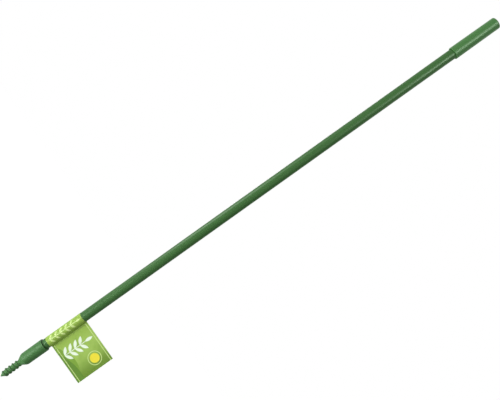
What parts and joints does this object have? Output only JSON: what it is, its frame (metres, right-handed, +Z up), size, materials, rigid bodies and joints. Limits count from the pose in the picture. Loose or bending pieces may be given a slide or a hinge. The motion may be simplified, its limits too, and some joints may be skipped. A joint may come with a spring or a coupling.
{
  "type": "plant stake",
  "caption": "Straight plastic-jacketed steel plant stake with a pointed screw tip, a coupling sleeve on top that takes the next stake's screw, and a paper flag label wrapped round the tube.",
  "frame": {"origin": "point of the screw tip, on the stake's axis", "axes": "+Z up the stake from its point to its coupling, +X along the label's flag, -Y the side that the flag's face is seen from"},
  "size_m": [0.0874, 0.0198, 0.9291],
  "materials": {
    "steel": "thin-walled welded tube",
    "jacket_plastic": "extruded green plastic, satin",
    "tip_plastic": "moulded green plastic, satin",
    "sleeve_plastic": "moulded green plastic, satin",
    "label_paper": "printed coated paper, semi-gloss"
  },
  "bodies": {
    "stake": {"steel_tube": "steel", "plastic_jacket": "jacket_plastic", "screw_tip": "tip_plastic", "coupling_sleeve": "sleeve_plastic", "label_wrap": "label_paper"},
    "flag": {"label_flag": "label_paper"}
  },
  "joints": [
    {"name": "flag_bend", "type": "hinge", "parent": "stake", "child": "flag", "pos_m": [0.01062, 0, 0.123], "axis": [0, 0, 1], "range_deg": [-80, 80], "stiffness_Nm_per_rad": 0.015}
  ]
}
